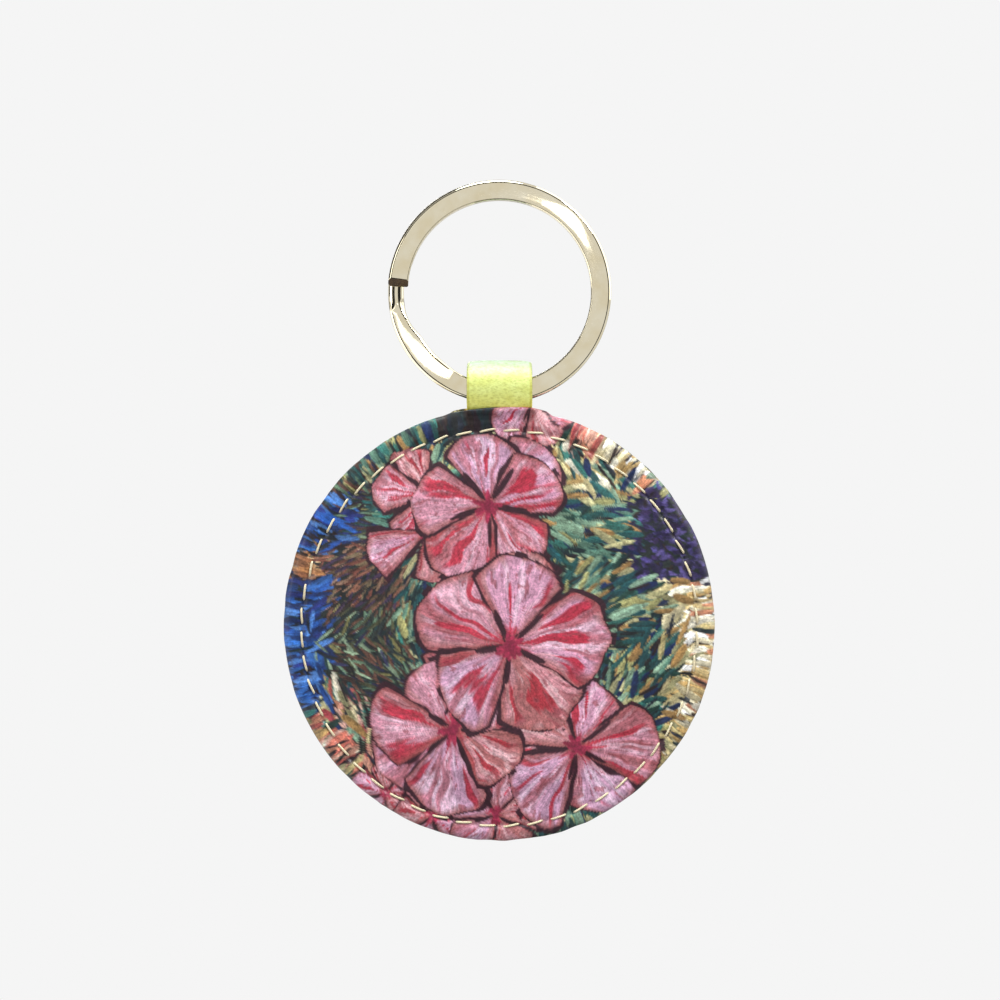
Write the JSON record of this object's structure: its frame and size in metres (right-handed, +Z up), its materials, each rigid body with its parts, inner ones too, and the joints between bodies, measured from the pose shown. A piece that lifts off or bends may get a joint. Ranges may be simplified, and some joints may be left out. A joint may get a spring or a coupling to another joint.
{
  "type": "round key fob on split ring",
  "caption": "Round padded leather key fob with a floral print, hung by a folded leather tab from a flat-wire split ring.",
  "frame": {"origin": "inner top of the split ring, where a hook, a clip or a key bears on it", "axes": "+Z up along the hanging fob, -Y out of the fob's printed front, +X to the right seen from the front"},
  "size_m": [0.058, 0.007, 0.0887],
  "materials": {
    "ring_plating": "pale gold plating, polished",
    "lining_ply": "thin split leather, smooth",
    "tab_leather": "fine-grained, satin",
    "printed_leather": "floral print on fine grain, satin",
    "foam": "thin felted foam",
    "board": "pressed grey-brown board",
    "thread": "twisted cream thread"
  },
  "bodies": {
    "ring": {"split_ring": "ring_plating"},
    "lining": {"tab_lining": "lining_ply"},
    "fob": {"tab_strap": "tab_leather", "front_cover": "printed_leather", "back_cover": "printed_leather", "front_foam": "foam", "back_foam": "foam", "stiffener_board": "board", "needle_thread": "thread", "bobbin_thread": "thread"}
  },
  "joints": [
    {"name": "ring_travel", "type": "hinge", "parent": "ring", "child": "lining", "pos_m": [0, 0, -0.0123], "axis": [0, 1, 0], "continuous": true},
    {"name": "fob_swing", "type": "hinge", "parent": "lining", "child": "fob", "pos_m": [0, 0, -0.02555], "axis": [1, 0, 0], "range_deg": [-120, 120]}
  ]
}
